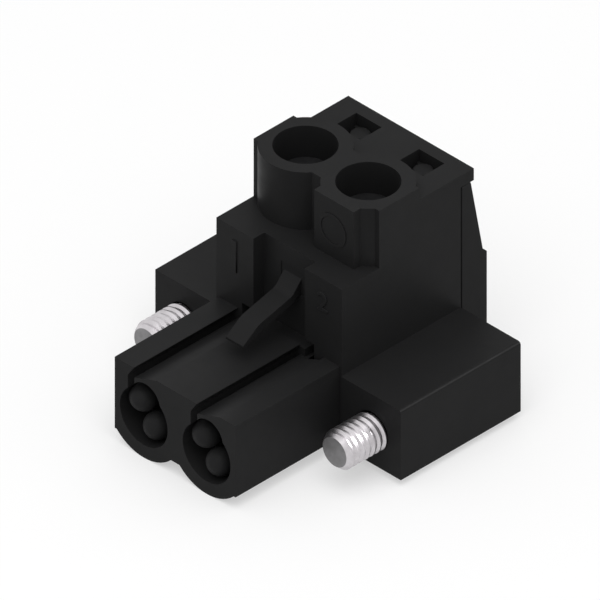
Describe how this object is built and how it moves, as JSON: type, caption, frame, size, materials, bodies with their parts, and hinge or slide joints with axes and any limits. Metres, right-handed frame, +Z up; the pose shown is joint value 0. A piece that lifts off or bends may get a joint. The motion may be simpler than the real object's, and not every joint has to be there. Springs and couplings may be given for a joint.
{
  "type": "pcb plug connector",
  "caption": "Pluggable screw-terminal connector: moulded housing with wire clamps, socket barrels, a latch arm and screw flanges.",
  "frame": {"origin": "centre of the bounding box's bottom, on the surface the connector stands on", "axes": "+Z up towards the clamp screws, -Y towards the mating header, +Y towards the wires, X across the poles"},
  "size_m": [0.0198, 0.0202, 0.0154],
  "materials": {
    "black_plastic": "fine moulded black",
    "dark_steel": "blackened steel",
    "plated_brass": "nickel-plated brass",
    "dark_copper_alloy": "darkened copper alloy",
    "zinc_plated_steel": "zinc-plated steel"
  },
  "bodies": {
    "plug": {"housing": "black_plastic", "rear_cover": "black_plastic", "contact_1": "dark_copper_alloy", "contact_2": "dark_copper_alloy"},
    "screw_1": {"clamp_screw_1": "dark_steel"},
    "yoke_1": {"clamp_yoke_1": "plated_brass"},
    "screw_2": {"clamp_screw_2": "dark_steel"},
    "yoke_2": {"clamp_yoke_2": "plated_brass"},
    "left_flange_screw": {"flange_screw_left": "zinc_plated_steel"},
    "right_flange_screw": {"flange_screw_right": "zinc_plated_steel"}
  },
  "joints": [
    {"name": "clamp_screw_1_turn", "type": "hinge", "parent": "plug", "child": "screw_1", "pos_m": [-0.00254, 0.003, 0.0125], "axis": [0, 0, -1], "range_deg": [0, 1296]},
    {"name": "clamp_yoke_1_lift", "type": "slide", "parent": "plug", "child": "yoke_1", "axis": [0, 0, 1], "range_m": [0, 0.0018]},
    {"name": "clamp_screw_2_turn", "type": "hinge", "parent": "plug", "child": "screw_2", "pos_m": [0.00254, 0.003, 0.0125], "axis": [0, 0, -1], "range_deg": [0, 1296]},
    {"name": "clamp_yoke_2_lift", "type": "slide", "parent": "plug", "child": "yoke_2", "axis": [0, 0, 1], "range_m": [0, 0.0018]},
    {"name": "flange_screw_left_turn", "type": "hinge", "parent": "plug", "child": "left_flange_screw", "pos_m": [-0.00762, 0, 0.00282], "axis": [0, -1, 0], "continuous": true},
    {"name": "flange_screw_right_turn", "type": "hinge", "parent": "plug", "child": "right_flange_screw", "pos_m": [0.00762, 0, 0.00282], "axis": [0, -1, 0], "continuous": true}
  ],
  "couplings": [
    {"joint": "clamp_screw_1_turn", "follows": "clamp_yoke_1_lift", "rad_per_m": 12566},
    {"joint": "clamp_screw_2_turn", "follows": "clamp_yoke_2_lift", "rad_per_m": 12566}
  ]
}
